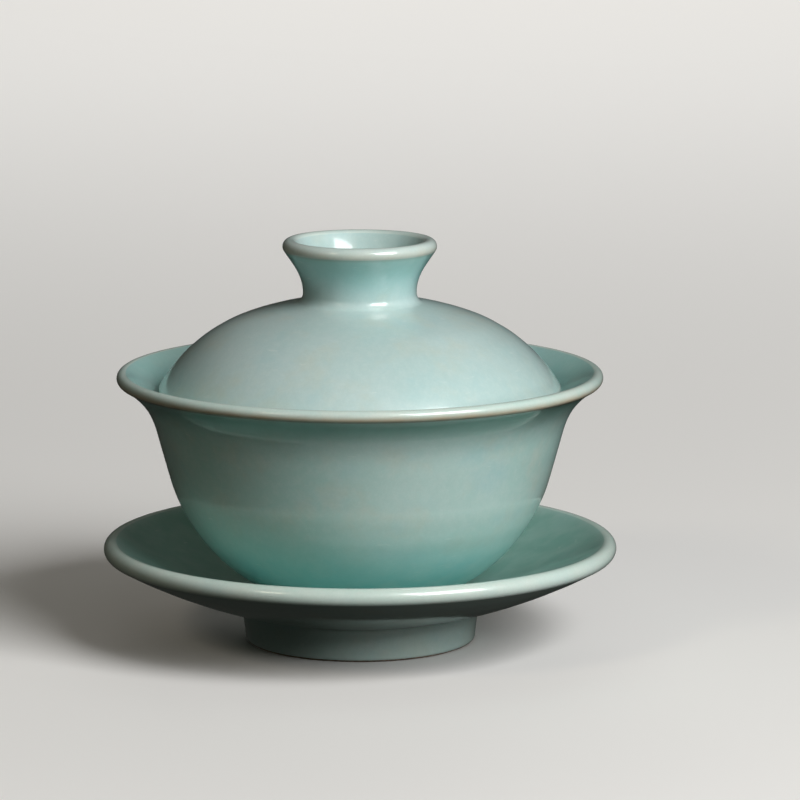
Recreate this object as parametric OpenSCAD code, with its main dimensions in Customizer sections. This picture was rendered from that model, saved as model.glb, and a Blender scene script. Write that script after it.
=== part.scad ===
// Gaiwan: a covered tea bowl on a saucer.
// Three loose pieces of glazed stoneware, each turned about the Z axis.
// The origin is the centre of the saucer's foot, on the surface that it stands on.

/* [Saucer] */
// Diameter over the saucer's lip
saucer_d = 106; // [102:0.5:112]
// Height from the foot to the top of the saucer's lip
saucer_h = 21.2; // [20:0.1:23]
// Thickness of the rounded lip
saucer_lip = 3.6; // [3:0.1:4.2]
// Slope of the dish where it meets the lip, in degrees
dish_slope = 29; // [27:0.5:31]
// Radius of the curve of the underside
dish_under_r = 117; // [108:1:130]
// Radius of the curve of the upper side
dish_upper_r = 140; // [130:1:155]
// Diameter of the foot ring where it meets the dish
saucer_foot_d = 49; // [48:0.5:53]
// Width of the foot ring's band of clay
saucer_foot_w = 3.6; // [3:0.1:5]
// Depth of the hollow inside the foot ring
saucer_foot_depth = 5.4; // [4.5:0.1:5.6]
// Diameter of the flat well that carries the bowl
well_d = 45; // [44:0.5:46]
// Height of the flat well above the foot
well_h = 9; // [8.8:0.1:9.4]

/* [Bowl] */
// Diameter over the bowl's lip
mouth_d = 100; // [99:0.5:102]
// Height from the bowl's foot to the top of its lip
bowl_h = 47.3; // [46.8:0.1:48.6]
// Thickness of the wall and the lip
bowl_wall = 2.6; // [2.2:0.1:3]
// Angle of the straight wall from vertical, in degrees
wall_lean = 15.5; // [15:0.5:16.5]
// Length of the straight stretch of the wall
wall_run = 10.6; // [9.6:0.1:11.2]
// Radius of the flare under the lip
flare_r = 14.9; // [14.2:0.1:15.6]
// Angle through which the flare turns, in degrees
flare_turn = 46; // [44:1:48]
// Outer radius of the curve from the wall down to the foot
belly_r = 36.9; // [36.2:0.1:37.6]
// Inner radius of that curve
belly_inner_r = 26; // [25.2:0.1:26.6]
// Slope at which the inside meets its shallow floor, in degrees
floor_slope = 22; // [20:1:24]
// Diameter of the bowl's foot ring
bowl_foot_d = 42; // [40:0.5:42]
// Width of the bowl's foot ring
bowl_foot_w = 3; // [2.4:0.1:4]
// Depth of the hollow inside the bowl's foot ring
bowl_foot_depth = 2; // [1.2:0.1:2]

/* [Lid] */
// Diameter over the lid's upright rim
lid_d = 82.6; // [82:0.2:83]
// Height from the lid's rim to the top of its knob
lid_h = 34.5; // [34:0.1:36]
// Thickness of the dome and its rim
lid_wall = 2.6; // [2.3:0.1:2.9]
// Height of the upright rim below the dome
rim_h = 3.6; // [3.4:0.1:3.8]
// Slope of the dome where it leaves the rim, in degrees
shoulder_slope = 59; // [58:0.5:60]
// Radius of the dome's shoulder
shoulder_r = 33.5; // [33:0.1:34]
// Angle through which the shoulder turns, in degrees
shoulder_turn = 40; // [39.5:0.5:40.5]

/* [Knob] */
// Diameter over the knob's lip
knob_d = 31.6; // [31:0.1:33]
// Thickness of the knob's lip, below which its wall thins a little
knob_wall = 3; // [2.6:0.1:3.1]
// Diameter of the knob's neck at its narrowest
neck_d = 23.3; // [22.8:0.1:24]
// Radius of the curve from the dome into the neck
neck_fillet = 2; // [1.8:0.1:2.5]
// Radius of the curve from the neck out to the lip
neck_curve = 10; // [9:0.1:10.4]

/* [Fit] */
// Gap between the seated lid and the bowl's wall
seat_gap = 0.2; // [0.15:0.05:0.4]

/* [Hidden] */

// Facets around the axis, and the most that a chord may leave its curve
$fn = 180;
sag = 0.008;

// Colour of the thick glaze, from the deepest pool to the thin dome
GLAZE_DEEP = [0.56, 0.74, 0.72];
GLAZE = [0.63, 0.78, 0.75];
GLAZE_THIN = [0.71, 0.82, 0.79];

// Rounding of the edges and corners that the turning tool leaves
foot_edge = 1;
foot_inner_edge = 0.8;
recess_fillet = 1.2;
well_edge = 1.2;
well_step_run = 1.4;
foot_taper = 0.8;
cup_fillet = 0.8;

// Unit vector at an angle from the r axis
function dir(angle) = [cos(angle), sin(angle)];

// Angle of a vector from the r axis
function bearing(v) = atan2(v[1], v[0]);

// Height of a circle's lower half at the radius r
function lower_z(centre, radius, r) = centre[1] - sqrt(pow(radius, 2) - pow(r - centre[0], 2));

// Height of a circle's upper half at the radius r
function upper_z(centre, radius, r) = centre[1] + sqrt(pow(radius, 2) - pow(r - centre[0], 2));

// Points along an arc, close enough together that no chord leaves it by more than sag
function arc(centre, radius, start, end) =
    let (
        step = 2 * acos(1 - sag / radius),
        count = ceil(abs(end - start) / step)
    )
    [for (i = [0:count]) centre + radius * dir(start + (end - start) * i / count)];

// Points of a round corner at b, between the lines from a to b and from b to c
function corner(a, b, c, radius) =
    let (
        in_dir = (b - a) / norm(b - a),
        out_dir = (c - b) / norm(c - b),
        turn = atan2(cross(in_dir, out_dir), in_dir * out_dir),
        side = sign(turn),
        tangent = b - in_dir * radius * tan(abs(turn) / 2),
        centre = tangent + side * radius * [-in_dir[1], in_dir[0]],
        start = bearing(tangent - centre)
    )
    arc(centre, radius, start, start + turn);

// --- Saucer: centres of its lip and of its two dish curves ---
saucer_lip_r = saucer_lip / 2;
saucer_lip_c = [saucer_d / 2 - saucer_lip_r, saucer_h - saucer_lip_r];
dish_dir = dir(dish_slope - 90);
dish_under_c = saucer_lip_c - (dish_under_r - saucer_lip_r) * dish_dir;
dish_upper_c = saucer_lip_c - (dish_upper_r + saucer_lip_r) * dish_dir;
saucer_foot_r = saucer_foot_d / 2;
foot_top = [saucer_foot_r, lower_z(dish_under_c, dish_under_r, saucer_foot_r)];
well_top_r = well_d / 2 + well_step_run;
well_top = [well_top_r, lower_z(dish_upper_c, dish_upper_r, well_top_r)];

// --- Bowl: its lip, flare, wall and belly, with z measured from its own foot ---
bowl_lip_r = bowl_wall / 2;
bowl_lip_c = [mouth_d / 2 - bowl_lip_r, bowl_h - bowl_lip_r];
flare_end = 180 - wall_lean - flare_turn;
flare_c = bowl_lip_c - (flare_r + bowl_lip_r) * dir(flare_end);
wall_dir = dir(90 - wall_lean);
wall_out = dir(-wall_lean);
wall_low = flare_c - flare_r * wall_out - wall_run * wall_dir;
belly_c = wall_low - belly_r * wall_out;
belly_inner_c = wall_low - (bowl_wall + belly_inner_r) * wall_out;
floor_rise = belly_inner_c[0] / sin(floor_slope);
floor_c = belly_inner_c - floor_rise * dir(floor_slope - 90);
floor_r = belly_inner_r + floor_rise;
bowl_foot_r = bowl_foot_d / 2;
bowl_foot_top = [bowl_foot_r, lower_z(belly_c, belly_r, bowl_foot_r)];

// --- Lid: its rim, dome and knob, with z measured from the bottom of its rim ---
rim_r = lid_wall / 2;
rim_low_c = [lid_d / 2 - rim_r, rim_r];
rim_top_c = [lid_d / 2 - rim_r, rim_h];
shoulder_start = 90 - shoulder_slope;
shoulder_end = shoulder_start + shoulder_turn;
shoulder_c = rim_top_c - (shoulder_r - rim_r) * dir(shoulder_start);
dome_r = shoulder_r + shoulder_c[0] / cos(shoulder_end);
dome_c = shoulder_c - (dome_r - shoulder_r) * dir(shoulder_end);
rim_inner_r = lid_d / 2 - lid_wall;
shoulder_inner_r = shoulder_r - lid_wall;
shoulder_inner_start = acos((rim_inner_r - shoulder_c[0]) / shoulder_inner_r);

neck_r = neck_d / 2;
neck_z = upper_z(dome_c, dome_r + neck_fillet, neck_r + neck_fillet);
neck_low_c = [neck_r + neck_fillet, neck_z];
neck_up_c = [neck_r + neck_curve, neck_z];
dome_end = bearing(neck_low_c - dome_c);
knob_lip_r = knob_wall / 2;
knob_lip_c = [knob_d / 2 - knob_lip_r, lid_h - knob_lip_r];
neck_to_lip = knob_lip_c - neck_up_c;
neck_end = bearing(neck_to_lip) + acos((neck_curve + knob_lip_r) / norm(neck_to_lip));

// The cup's wall leaves the lip on one curve, which gets steeper down to the floor
cup_lip = knob_lip_c + knob_lip_r * dir(neck_end);
cup_r = neck_r - knob_wall;
cup_curve = (cup_lip[0] - cup_r) / (1 + cos(neck_end));
cup_c = cup_lip - cup_curve * dir(neck_end);
cup_low_rise = upper_z(dome_c, dome_r, cup_r) + 2 * cup_fillet - cup_c[1];
cup_lean = asin(max(0, cup_low_rise / cup_curve));
cup_low = cup_c + cup_curve * dir(180 - cup_lean);
cup_floor_r = cup_low[0] - 2 * cup_fillet * tan(cup_lean);
cup_corner = [cup_floor_r, upper_z(dome_c, dome_r, cup_floor_r)];
cup_floor_end = bearing([cup_floor_r - 2 * cup_fillet, cup_corner[1]] - dome_c);

// --- Where the loose pieces rest ---
bowl_z = well_h;
seat_reach = flare_r + bowl_wall + seat_gap + rim_r;
lid_z = bowl_z + upper_z(flare_c, seat_reach, rim_low_c[0]) - rim_r;

// Half of the saucer's section, from the axis under the foot round to the well
function saucer_outline() =
    let (
        hollow = [saucer_foot_r - saucer_foot_w - foot_taper, saucer_foot_depth],
        inner = [hollow[0] + foot_taper / 2, 0],
        outer = [saucer_foot_r - foot_taper, 0],
        well = [well_d / 2, well_h],
        above_well = [well_top_r + 3, lower_z(dish_upper_c, dish_upper_r, well_top_r + 3)],
        step_turn = corner(above_well, well_top, well, well_edge)
    )
    concat(
        [[0, saucer_foot_depth]],
        corner([0, saucer_foot_depth], hollow, inner, recess_fillet),
        corner(hollow, inner, outer, foot_inner_edge),
        corner(inner, outer, foot_top, foot_edge),
        arc(dish_under_c, dish_under_r, bearing(foot_top - dish_under_c), dish_slope - 90),
        arc(saucer_lip_c, saucer_lip_r, dish_slope - 90, dish_slope + 90),
        arc(dish_upper_c, dish_upper_r, dish_slope - 90, bearing(step_turn[0] - dish_upper_c)),
        [for (i = [1:len(step_turn) - 1]) step_turn[i]],
        corner(well_top, well, [0, well_h], well_edge),
        [[0, well_h]]
    );

// Half of the bowl's section, from the axis under the foot round to the inner floor
function bowl_outline() =
    let (
        hollow = [bowl_foot_r - bowl_foot_w - foot_taper / 2, bowl_foot_depth],
        inner = [bowl_foot_r - bowl_foot_w, 0],
        outer = [bowl_foot_r, 0]
    )
    concat(
        [[0, bowl_foot_depth]],
        corner([0, bowl_foot_depth], hollow, inner, foot_inner_edge),
        corner(hollow, inner, outer, foot_inner_edge),
        corner(inner, outer, bowl_foot_top, foot_edge),
        arc(belly_c, belly_r, bearing(bowl_foot_top - belly_c), -wall_lean),
        arc(flare_c, flare_r, 180 - wall_lean, flare_end),
        arc(bowl_lip_c, bowl_lip_r, flare_end - 180, flare_end),
        arc(flare_c, flare_r + bowl_wall, flare_end, 180 - wall_lean),
        arc(belly_inner_c, belly_inner_r, -wall_lean, floor_slope - 90),
        arc(floor_c, floor_r, floor_slope - 90, -90)
    );

// Half of the lid's section, from the axis under the dome round to the knob's cup
function lid_outline() =
    let (cup_floor = dome_c + dome_r * dir(cup_floor_end))
    concat(
        arc(dome_c, dome_r - lid_wall, 90, shoulder_end),
        arc(shoulder_c, shoulder_inner_r, shoulder_end, shoulder_inner_start),
        arc(rim_low_c, rim_r, 180, 360),
        arc(rim_top_c, rim_r, 0, shoulder_start),
        arc(shoulder_c, shoulder_r, shoulder_start, shoulder_end),
        arc(dome_c, dome_r, shoulder_end, dome_end),
        arc(neck_low_c, neck_fillet, dome_end + 180, 180),
        arc(neck_up_c, neck_curve, 180, neck_end),
        arc(knob_lip_c, knob_lip_r, neck_end - 180, neck_end),
        arc(cup_c, cup_curve, neck_end, 180 - cup_lean),
        corner(cup_low, cup_corner, cup_floor, cup_fillet),
        arc(dome_c, dome_r, cup_floor_end, 90)
    );

// The wide dish on its foot ring, with a flat well that carries the bowl
module saucer()
    color(GLAZE_DEEP)
        rotate_extrude()
            polygon(saucer_outline());

// The flared cup on its own foot ring
module bowl()
    color(GLAZE)
        translate([0, 0, bowl_z])
            rotate_extrude()
                polygon(bowl_outline());

// The dome and its hollow, flared knob, fired as one piece
module lid()
    color(GLAZE_THIN)
        translate([0, 0, lid_z])
            rotate_extrude()
                polygon(lid_outline());

saucer();
bowl();
lid();
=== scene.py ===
import math

import bpy
import numpy as np
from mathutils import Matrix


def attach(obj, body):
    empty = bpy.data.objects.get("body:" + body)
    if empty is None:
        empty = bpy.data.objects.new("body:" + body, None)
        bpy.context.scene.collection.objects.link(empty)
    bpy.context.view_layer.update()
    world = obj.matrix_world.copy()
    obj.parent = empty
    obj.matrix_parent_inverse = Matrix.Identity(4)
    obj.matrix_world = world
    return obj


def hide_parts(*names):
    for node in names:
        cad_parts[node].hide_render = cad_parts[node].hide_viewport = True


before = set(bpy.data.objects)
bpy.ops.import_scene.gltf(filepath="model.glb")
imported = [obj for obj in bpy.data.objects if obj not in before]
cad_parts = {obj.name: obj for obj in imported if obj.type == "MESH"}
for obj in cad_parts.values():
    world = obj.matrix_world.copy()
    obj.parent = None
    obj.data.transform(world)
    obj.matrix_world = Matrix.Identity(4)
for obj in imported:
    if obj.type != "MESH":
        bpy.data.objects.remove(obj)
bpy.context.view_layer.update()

MM = 0.001

# --- Outlines ---
SAME_RING = 0.03 * MM         # vertices this close in radius and height are on one ring
RING_STEP = 0.9 * MM          # longest step along an outline
RING_TURN = math.radians(7)   # largest turn in one step
CORNER = math.radians(22)     # a sharper turn than this is a real corner
CORNER_SOFT = 0.35 * MM       # how far the glaze softens such a corner
CORNER_REACH = 0.4            # and at most this share of the line on either side of it
CORNER_POINTS = 6

# --- Lathe ---
SEGMENTS = 192                # quads round the axis
THROWING_RINGS = (            # two sets of ridges: wavelength over 2 pi, and height, both in mm
    (0.85, 0.008),
    (1.1, 0.007),
)
RING_WAVER = 0.35             # how much a ridge's height changes round the axis
RING_SPIRAL = 60              # how fast that change turns along the outline, radians per metre
OVAL = 0.03                   # how far a piece is out of round, in mm: drawn out to two sides
THREE_SIDED = 0.015           # and to three
AXIS_CLEAR = (3 * MM, 12 * MM)    # the unevenness fades in over these distances from the axis
FOOT_CLEAR = (0.4 * MM, 2 * MM)   # and over these heights above the standing ring

# --- Where the glaze, its painted shade and its painted light change along an outline ---
LIP_BEND = (200, 420)         # curvature, 1/m: a lip from the second up, none below the first
FOOT_HEIGHT = (0.35, 0.55)    # shares of a footed piece's height: bends lower down are its foot
FACING = (0.1, 0.5)           # sideways part of the normal on a wall that faces in or out
LYING = (0.3, 0.8)            # upward part of the normal in a dish
LIP_NEAR = 2 * MM             # glaze in a dish thins this close to its lip
BUFF_BAND = (0.5, 0.8)        # middle and width, in mm from where the lip starts underneath
# middle and width of the rust line, which also holds painted shade where the lip turns under
RUST_AND_SHADE_BAND = (0.05, 0.33)
NOWHERE = (2, 3)              # relative heights that no wall reaches

# --- Tints of the glaze, painted shade and light among them: vertex attribute, colour (linear) and strength ---
TINTS = (
    ("pooled", (0.13, 0.54, 0.55), 0.85),   # runs together low on a wall and thick on a neck
    ("gathered", (0.20, 0.44, 0.37), 0.8),  # painted shade right under a lip, with glaze gathering there, and deeper glaze lying in a dish
    ("pale", (0.72, 0.79, 0.72), 0.5),      # paler over any lip: thin glaze, and painted light
    ("worn", (0.56, 0.45, 0.29), 0.85),     # breaks to the buff clay on a lip's outer, lower side
    ("edge", (0.15, 0.10, 0.055), 0.85),    # and to rust where the lip turns under, with painted shade in that crease
)
TINT_STEADY = 0.8             # the share of a tint's strength that shows everywhere
TINT_WAVER = 0.3              # and the share that comes and goes

# --- Other colours, linear ---
WARM_CLOUD = (0.56, 0.62, 0.53)
COOL_CLOUD = (0.39, 0.62, 0.63)
MILKY = (0.66, 0.76, 0.72)
HAIRLINE = (0.80, 0.85, 0.80)
GRAIN = (0.30, 0.42, 0.38)
SPECK = (0.10, 0.09, 0.07)
CLAY_DARK = (0.20, 0.13, 0.085)
CLAY_LIGHT = (0.42, 0.32, 0.23)
FLOOR_GREY = (0.88, 0.87, 0.85)

# --- Gloss and relief of the glaze and the clay ---
GLAZE_ROUGHNESS = 0.33        # at the least
ROUGHNESS_CHANGE = 0.1
GLAZE_RELIEF = 0.011 * MM     # one unit of the three heights below
PEEL = 0.8                    # soft unevenness
TURNING_MARKS = 0.25          # fine lines round the piece
PINHOLE_DEPTH = 3.0
CLAY_RELIEF = 0.12 * MM

# --- Camera ---
AIM_Z = 50 * MM               # the level that it aims at
AIM_X = 8.25 * MM             # its side step from the axis
CAMERA_DISTANCE = 1.0
CAMERA_ELEVATION = math.radians(9.85)
CAMERA_LENS = 218.5           # mm, on the sensor's width in mm
CAMERA_SENSOR = 36
CAMERA_CLIP = (0.05, 50)

FLOOR_HALF = 12.0             # half the floor's side, in metres


# ---------------------------------------------------------------- outlines

def node_outline(name):
    """A CAD node's outline (radius, height), from the axis underneath to the axis on top."""
    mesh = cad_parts[name].data
    points = np.array([v.co for v in mesh.vertices])
    flat = np.column_stack([np.hypot(points[:, 0], points[:, 1]), points[:, 2]])
    index = np.full(len(flat), -1)
    rings = []
    while (index < 0).any():
        ring = flat[np.argmax(index < 0)]
        index[(index < 0) & (abs(flat - ring).max(1) < SAME_RING)] = len(rings)
        rings.append(ring)
    links = {i: set() for i in range(len(rings))}
    for edge in mesh.edges:
        a, b = (int(index[v]) for v in edge.vertices)
        if a != b:
            links[a].add(b)
            links[b].add(a)
    ends = [i for i in links if len(links[i]) == 1]
    path = [min(ends, key=lambda i: rings[i][1])]
    while True:
        onward = [i for i in links[path[-1]] if i not in path]
        if not onward:
            break
        path.append(onward[0])
    line = np.array([rings[i] for i in path])
    if line[0, 0] > SAME_RING:
        line = np.vstack([[0, line[0, 1]], line])
    if line[-1, 0] > SAME_RING:
        line = np.vstack([line, [0, line[-1, 1]]])
    line[0, 0] = line[-1, 0] = 0
    return line


def unit(v):
    return v / np.linalg.norm(v)


def turn_between(a, b):
    """Signed angle from direction a to direction b."""
    return math.atan2(a[0] * b[1] - a[1] * b[0], float(a @ b))


def soften_corners(line):
    """Replaces each sharp corner of an outline by a short curve."""
    out = [line[0]]
    for before, corner, after in zip(line[:-2], line[1:-1], line[2:]):
        a, b = unit(corner - before), unit(after - corner)
        if abs(turn_between(a, b)) < CORNER:
            out.append(corner)
            continue
        shorter = min(np.linalg.norm(corner - before), np.linalg.norm(after - corner))
        reach = min(CORNER_SOFT, CORNER_REACH * shorter)
        start, end = corner - a * reach, corner + b * reach
        for t in np.linspace(0, 1, CORNER_POINTS):
            out.append((1 - t) ** 2 * start + 2 * t * (1 - t) * corner + t ** 2 * end)
    out.append(line[-1])
    return np.array(out)


def smooth_outline(line):
    """Points on a smooth (Hermite) curve through an outline, closer together where it turns."""
    line = soften_corners(line)
    steps = np.diff(line, axis=0)
    lengths = np.linalg.norm(steps, axis=1)
    tangents = [unit(steps[0])]
    for before, after in zip(line[:-2], line[2:]):
        tangents.append(unit(after - before))
    tangents.append(unit(steps[-1]))
    out = []
    for i, length in enumerate(lengths):
        turn = abs(turn_between(tangents[i], tangents[i + 1]))
        count = max(1, math.ceil(length / RING_STEP), math.ceil(turn / RING_TURN))
        for t in np.arange(count) / count:
            near, far = 2 * t ** 3 - 3 * t ** 2 + 1, 3 * t ** 2 - 2 * t ** 3
            leave, arrive = t ** 3 - 2 * t ** 2 + t, t ** 3 - t ** 2
            ends = near * line[i] + far * line[i + 1]
            pulls = leave * tangents[i] + arrive * tangents[i + 1]
            out.append(ends + length * pulls)
    out.append(line[-1])
    return np.array(out)


def outline_facts(line):
    """Outward normals, and curvature that is positive where the clay bulges, along an outline."""
    along = np.gradient(line, axis=0)
    along /= np.linalg.norm(along, axis=1)[:, None]
    normals = np.column_stack([along[:, 1], -along[:, 0]])
    steps = np.diff(line, axis=0)
    lengths = np.linalg.norm(steps, axis=1)
    turns = np.array([turn_between(a, b) for a, b in zip(steps[:-1], steps[1:])])
    bend = np.zeros(len(line))
    bend[1:-1] = turns / (0.5 * (lengths[:-1] + lengths[1:]))
    return normals, bend


def distance_run(line):
    """Distance along an outline from its start."""
    return np.concatenate([[0], np.cumsum(np.linalg.norm(np.diff(line, axis=0), axis=1))])


# ---------------------------------------------------------------- glaze along an outline

def smoothstep(x, low, high):
    """Rises from 0 at low to 1 at high, which may be the smaller of the two."""
    t = np.clip((x - low) / (high - low), 0, 1)
    return t * t * (3 - 2 * t)


def band(x, middle, width):
    """A soft band: 1 in its middle, and almost nothing two widths away."""
    return np.exp(-((x - middle) / width) ** 2)


def blur(values, line, reach):
    """Values along an outline, each averaged over its neighbours on the surface."""
    run = distance_run(line)
    share = band(run[:, None] - run, 0, reach) * np.gradient(run)
    return share @ values / share.sum(1)


def glaze_depth(
    line, normals, bend, footed,
    pooled=NOWHERE, most=1.0, inward=0.0, gathered=NOWHERE, dished=0.0, worn=1.0,
):
    """How strongly each tint shows along an outline.

    On walls that face outwards the glaze is pooled, and painted shade with glaze gathering
    in it is laid under a lip, each from nothing at its first relative height to full at its
    second; it is pooled no more than most. On walls that face inwards it is pooled as much as
    inward says. The glaze lies in a dish as much as dished says, and a lip is worn as much as
    worn says. Over a lip the colour is paler, as thin glaze and painted light, and where the
    lip turns under a rust line holds painted shade.
    """
    low, high = line[:, 1].min(), line[:, 1].max()
    height = (line[:, 1] - low) / (high - low)
    lip = smoothstep(bend, *LIP_BEND)
    if footed:
        lip *= smoothstep(height, *FOOT_HEIGHT)
    wall = smoothstep(normals[:, 0], *FACING) * (1 - lip)
    inside = smoothstep(-normals[:, 0], *FACING) * (1 - lip)
    dish = dished * smoothstep(normals[:, 1], *LYING) * (1 - blur(lip, line, LIP_NEAR))
    run = distance_run(line)
    top_lip = np.flatnonzero((lip[1:] > 0.5) & (lip[:-1] <= 0.5))[-1] + 1
    past = (run - run[top_lip]) / MM
    return {
        "pooled": most * wall * smoothstep(height, *pooled) + inward * inside,
        # painted shade right under a lip on outward walls, and deeper glaze lying in a dish
        "gathered": np.maximum(dish, wall * smoothstep(height, *gathered)),
        # paler over the whole lip: thin glaze, and painted light
        "pale": lip,
        "worn": worn * band(past, *BUFF_BAND),
        # a rust line where the lip turns under, darkened further as painted shade
        "edge": worn * band(past, *RUST_AND_SHADE_BAND),
    }


# ---------------------------------------------------------------- lathe

def lathe(name, node, body, slot, materials, seed, bare_below=0.0, **glazing):
    """A turned piece on the CAD node's own outline, a little uneven as thrown clay is.

    Its foot is bare clay up to bare_below, and glazing says where the glaze is deep and where
    painted shade lies under a lip.
    """
    line = smooth_outline(node_outline(node))
    normals, bend = outline_facts(line)
    tints = glaze_depth(line, normals, bend, bare_below > 0, **glazing)
    run = distance_run(line)
    low = line[:, 1].min()
    turn = np.arange(SEGMENTS) * 2 * math.pi / SEGMENTS
    phase = np.random.default_rng(seed).uniform(0, 2 * math.pi, 5)

    # throwing rings along the outline, and a shape slightly out of round, both in mm
    rings = sum(
        tall * np.sin(run / (wave * MM) + start)
        for (wave, tall), start in zip(THROWING_RINGS, phase[:2])
    )
    oval = OVAL * np.cos(2 * turn + phase[2]) + THREE_SIDED * np.cos(3 * turn + phase[3])
    fade = smoothstep(line[:, 0], *AXIS_CLEAR) * smoothstep(line[:, 1] - low, *FOOT_CLEAR)

    vertices, starts, counts = [], [], []
    for i, (r, z) in enumerate(line):
        starts.append(len(vertices))
        counts.append(SEGMENTS if r > 0 else 1)
        waver = 1 + RING_WAVER * np.cos(turn + phase[4] + run[i] * RING_SPIRAL)
        out = (oval + rings[i] * waver) * MM * fade[i]
        for k in range(counts[i]):
            rr, zz = r + normals[i, 0] * out[k], z + normals[i, 1] * out[k]
            vertices.append((rr * math.cos(turn[k]), rr * math.sin(turn[k]), zz))

    faces, bare = [], []
    for i, (a, b) in enumerate(zip(starts[:-1], starts[1:])):
        unglazed = max(line[i, 1], line[i + 1, 1]) < low + bare_below
        for k in range(SEGMENTS):
            n = (k + 1) % SEGMENTS
            if line[i, 0] == 0:
                faces.append((a, b + n, b + k))
            elif line[i + 1, 0] == 0:
                faces.append((a + k, a + n, b))
            else:
                faces.append((a + k, a + n, b + n, b + k))
            bare.append(int(unglazed))

    mesh = bpy.data.meshes.new(name)
    mesh.from_pydata(vertices, [], faces)
    for key, values in tints.items():
        values = np.repeat(values, counts).astype(np.float32)
        mesh.attributes.new(key, "FLOAT", "POINT").data.foreach_set("value", values)
    for material in materials:
        mesh.materials.append(material)
    mesh.polygons.foreach_set("use_smooth", [True] * len(faces))
    mesh.polygons.foreach_set("material_index", bare)
    mesh.update()
    piece = bpy.data.objects.new(name, mesh)
    bpy.context.scene.collection.objects.link(piece)
    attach(piece, body)
    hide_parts(node)


# ---------------------------------------------------------------- materials

class Recipe:
    """A node material that is built up step by step. Distances are in metres, colours linear."""

    def __init__(self, name):
        self.material = bpy.data.materials.new(name)
        self.material.use_nodes = True
        self.tree = self.material.node_tree
        self.shader = self.tree.nodes["Principled BSDF"]
        self.place = self.node("TexCoord").outputs["Object"]

    def node(self, kind, inputs=None, **settings):
        made = self.tree.nodes.new("ShaderNode" + kind)
        for key, value in settings.items():
            setattr(made, key, value)
        for key, value in (inputs or {}).items():
            self.put(made.inputs[key], value)
        return made

    def put(self, socket, value):
        """Links another node's output to a socket, or sets the socket's own value."""
        if isinstance(value, bpy.types.NodeSocket):
            self.tree.links.new(value, socket)
        elif isinstance(value, tuple) and socket.type == "RGBA":
            socket.default_value = (*value, 1)
        else:
            socket.default_value = value

    def surface(self, values):
        """Sets or links the shader's sockets."""
        for key, value in values.items():
            self.put(self.shader.inputs[key], value)

    def math(self, operation, a, b):
        return self.node("Math", {0: a, 1: b}, operation=operation).outputs[0]

    def mix(self, amount, under, over):
        made = self.node("Mix", data_type="RGBA")
        sockets = (made.inputs[0], made.inputs[6], made.inputs[7])
        for socket, value in zip(sockets, (amount, under, over)):
            self.put(socket, value)
        return made.outputs[2]

    def ramp(self, value, low, high, top=1.0):
        """Rises smoothly from 0 where the value is low to top where it is high."""
        inputs = {"Value": value, "From Min": low, "From Max": high, "To Max": top}
        return self.node("MapRange", inputs, interpolation_type="SMOOTHSTEP").outputs[0]

    def noise(self, size, detail, roughness=0.5, stretch=(1, 1, 1)):
        """Cloudy noise with features of a size, longer along an axis with a larger stretch."""
        scale = tuple(1 / (size * s) for s in stretch)
        vector = self.node("Mapping", {"Vector": self.place, "Scale": scale}).outputs[0]
        inputs = {"Vector": vector, "Scale": 1.0, "Detail": detail, "Roughness": roughness}
        return self.node("TexNoise", inputs).outputs["Fac"]

    def veil(self, under, over, strength, shows, size, detail, roughness=0.5, stretch=(1, 1, 1)):
        """Lays a colour over another as noise rises through shows, up to its strength."""
        amount = self.ramp(self.noise(size, detail, roughness, stretch), *shows, strength)
        return self.mix(amount, under, over)

    def dots(self, spacing, radius, share):
        """Round dots on a share of the cells of a random grid."""
        cells = self.node("TexVoronoi", {"Vector": self.place, "Scale": 1 / spacing})
        far = self.ramp(cells.outputs["Distance"], 0.5 * radius / spacing, radius / spacing)
        chosen = self.node("SeparateColor", {"Color": cells.outputs["Color"]}).outputs[0]
        near = self.math("SUBTRACT", 1.0, far)
        return self.math("MULTIPLY", near, self.math("LESS_THAN", chosen, share))

    def attribute(self, name):
        return self.node("Attribute", attribute_name=name).outputs["Fac"]

    def bump(self, height, distance):
        made = self.node("Bump", {"Height": height, "Strength": 1.0, "Distance": distance})
        self.put(self.shader.inputs["Normal"], made.outputs[0])


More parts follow.
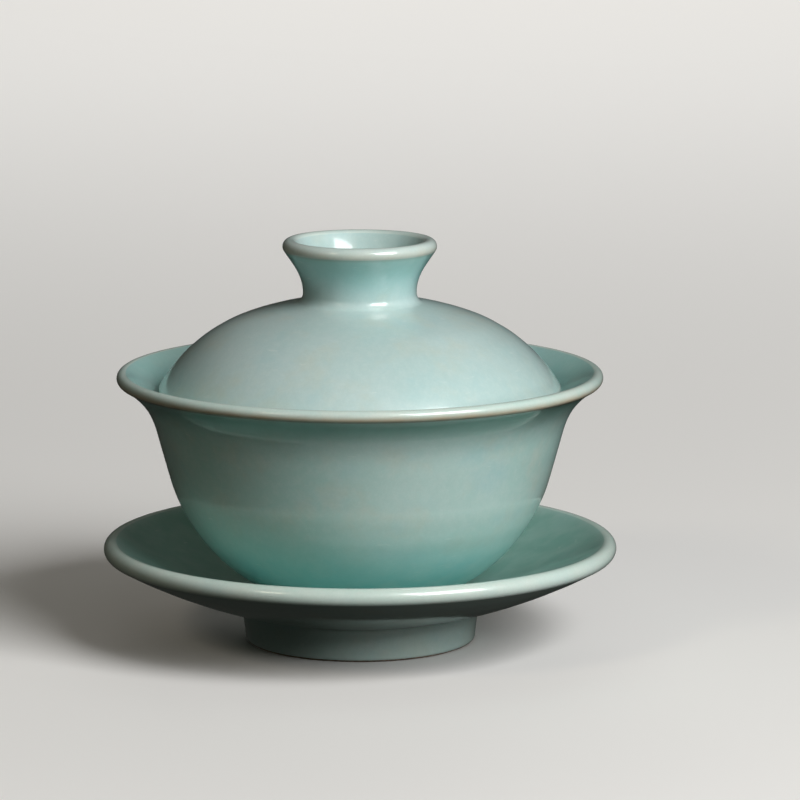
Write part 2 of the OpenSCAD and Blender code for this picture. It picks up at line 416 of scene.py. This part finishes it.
def glaze(name, pale, deep):
    """Satin celadon: cloudy jade, deep where it runs thick, buff and rust where it breaks, with
    painted shade under lips and at the rust line and painted light over lips.
    """
    m = Recipe(name)
    colour = m.veil(deep, pale, strength=1.0, shows=(0.36, 0.64), size=34 * MM, detail=4)
    colour = m.veil(
        colour, WARM_CLOUD, strength=0.5, shows=(0.47, 0.72),
        size=10 * MM, detail=5, roughness=0.6,
    )
    colour = m.veil(
        colour, COOL_CLOUD, strength=0.45, shows=(0.48, 0.76),
        size=13 * MM, detail=4, roughness=0.55, stretch=(1, 1, 0.7),
    )
    colour = m.veil(
        colour, MILKY, strength=0.24, shows=(0.35, 0.75),
        size=1.6 * MM, detail=4, roughness=0.65,
    )

    waver = m.ramp(m.noise(5 * MM, detail=2), 0.3, 0.7)
    # these tints include painted shade under lips and at the rust line, and painted light over
    # lips
    for key, tint, strength in TINTS:
        coming = m.math("MULTIPLY", waver, TINT_WAVER * strength)
        uneven = m.math("ADD", TINT_STEADY * strength, coming)
        colour = m.mix(m.math("MULTIPLY", m.attribute(key), uneven), colour, tint)

    colour = m.veil(
        colour, HAIRLINE, strength=0.28, shows=(0.69, 0.79),
        size=0.8 * MM, detail=2, stretch=(6, 6, 1),
    )
    colour = m.veil(
        colour, GRAIN, strength=0.08, shows=(0.3, 0.7),
        size=0.45 * MM, detail=2, roughness=0.6,
    )
    pinholes = m.dots(spacing=11 * MM, radius=0.24 * MM, share=0.16)
    colour = m.mix(m.math("MULTIPLY", pinholes, 0.8), colour, SPECK)

    roughness = m.ramp(m.noise(12 * MM, detail=4), 0.3, 0.7, ROUGHNESS_CHANGE)
    peel = m.math("MULTIPLY", m.noise(4.5 * MM, detail=2), PEEL)
    marks = m.noise(1.3 * MM, detail=2, stretch=(30, 30, 1))
    height = m.math("ADD", peel, m.math("MULTIPLY", marks, TURNING_MARKS))
    height = m.math("SUBTRACT", height, m.math("MULTIPLY", pinholes, PINHOLE_DEPTH))
    m.bump(height, GLAZE_RELIEF)
    m.surface({
        "Base Color": colour,
        "Roughness": m.math("ADD", roughness, GLAZE_ROUGHNESS),
        "Coat Weight": 0.95,
        "Coat Roughness": 0.11,
        "Subsurface Weight": 0.1,
        "Subsurface Scale": 1.2 * MM,
        "Subsurface Radius": (0.6, 1.0, 0.9),
    })
    return m.material


def bare_clay():
    """The unglazed stoneware that a foot stands on."""
    m = Recipe("bare_clay")
    grain = m.noise(1.1 * MM, detail=4, roughness=0.7)
    m.bump(grain, CLAY_RELIEF)
    m.surface({
        "Base Color": m.mix(m.ramp(grain, 0.35, 0.7), CLAY_DARK, CLAY_LIGHT),
        "Roughness": 0.9,
    })
    return m.material


def floor_paper():
    """Matt pale paper."""
    m = Recipe("floor_paper")
    m.surface({"Base Color": FLOOR_GREY, "Roughness": 1.0, "Specular IOR Level": 0.0})
    return m.material


# ---------------------------------------------------------------- stage

def add_floor():
    """A floor that the object neither picks up light from nor mirrors."""
    s = FLOOR_HALF
    mesh = bpy.data.meshes.new("floor")
    mesh.from_pydata([(-s, -s, 0), (s, -s, 0), (s, s, 0), (-s, s, 0)], [], [(0, 1, 2, 3)])
    mesh.materials.append(floor_paper())
    floor = bpy.data.objects.new("floor", mesh)
    bpy.context.scene.collection.objects.link(floor)
    floor.visible_diffuse = False
    floor.visible_glossy = False


def add_softbox(
    name, azimuth, elevation, distance, width, height, power,
    colour=(1, 1, 1), mirrored=True, aim=(0, 0, AIM_Z), spread=180,
):
    """A soft light that shines on a point. Azimuth 0 is the camera's, and right is positive."""
    a, e = math.radians(azimuth), math.radians(elevation)
    away = np.array([math.sin(a) * math.cos(e), -math.cos(a) * math.cos(e), math.sin(e)])
    data = bpy.data.lights.new(name, "AREA")
    data.shape = "RECTANGLE"
    data.size, data.size_y = width, height
    data.energy = power
    data.color = colour
    data.spread = math.radians(spread)
    light = bpy.data.objects.new(name, data)
    light.visible_glossy = mirrored
    light.location = tuple(away * distance + np.array(aim))
    light.rotation_euler = (math.pi / 2 - e, 0, a)
    bpy.context.scene.collection.objects.link(light)


def add_world(colour, strength):
    world = bpy.data.worlds.new("studio")
    world.use_nodes = True
    background = world.node_tree.nodes["Background"]
    background.inputs["Color"].default_value = (*colour, 1)
    background.inputs["Strength"].default_value = strength
    bpy.context.scene.world = world


def add_camera():
    data = bpy.data.cameras.new("camera")
    data.lens = CAMERA_LENS
    data.sensor_width = CAMERA_SENSOR
    data.clip_start, data.clip_end = CAMERA_CLIP
    camera = bpy.data.objects.new("camera", data)
    away = CAMERA_DISTANCE * math.cos(CAMERA_ELEVATION)
    up = CAMERA_DISTANCE * math.sin(CAMERA_ELEVATION)
    camera.location = (AIM_X, -away, AIM_Z + up)
    camera.rotation_euler = (math.pi / 2 - CAMERA_ELEVATION, 0, 0)
    bpy.context.scene.collection.objects.link(camera)
    bpy.context.scene.camera = camera


clay = bare_clay()
saucer_glaze = glaze("celadon_saucer", pale=(0.53, 0.68, 0.62), deep=(0.45, 0.62, 0.56))
bowl_glaze = glaze("celadon_bowl", pale=(0.495, 0.675, 0.63), deep=(0.42, 0.635, 0.585))
lid_glaze = glaze("celadon_lid", pale=(0.52, 0.665, 0.65), deep=(0.465, 0.63, 0.61))
lathe(
    "glazed_saucer", "saucer", "saucer", "saucer_glaze", [saucer_glaze, clay],
    seed=11, bare_below=0.5 * MM, dished=1.0, worn=0.2,
)
# painted shade under the bowl's lip spans 0.82 to 0.95 of its height
lathe(
    "glazed_bowl", "bowl", "bowl", "bowl_glaze", [bowl_glaze, clay],
    seed=23, bare_below=0.4 * MM, pooled=(0.5, 0.05), inward=0.3, gathered=(0.82, 0.95),
)
# painted shade under the knob's lip starts at 0.72 of the lid's height
lathe(
    "glazed_lid", "lid", "lid", "lid_glaze", [lid_glaze],
    seed=37, pooled=(0.6, 0.86), most=0.58, gathered=(0.72, 1.1), worn=0.35,
)

add_floor()
add_softbox("key", azimuth=43, elevation=35, distance=1.3, width=0.72, height=0.74, power=18.3)
add_softbox(
    "warm", azimuth=-43, elevation=34, distance=1.4, width=0.26, height=0.26, power=1.7,
    colour=(1, 0.88, 0.7),
)
add_softbox(
    "front", azimuth=4, elevation=26, distance=1.4, width=0.5, height=0.3, power=0.45,
    mirrored=False,
)
add_softbox(
    "low", azimuth=62, elevation=6, distance=1.4, width=0.7, height=0.16, power=2.4,
    mirrored=False,
)
add_softbox(
    "back", azimuth=178, elevation=20, distance=2.2, width=1.4, height=1.0, power=8,
    colour=(1, 0.97, 0.93), mirrored=False,
)
add_softbox(
    "wash", azimuth=0, elevation=60, distance=1.6, width=2.4, height=0.8, power=7.5,
    mirrored=False, aim=(0.1, 1.5, 0), spread=110,
)
add_world(colour=(0.94, 1.0, 0.88), strength=0.02)
add_camera()
bpy.context.scene.view_settings.view_transform = "Standard"
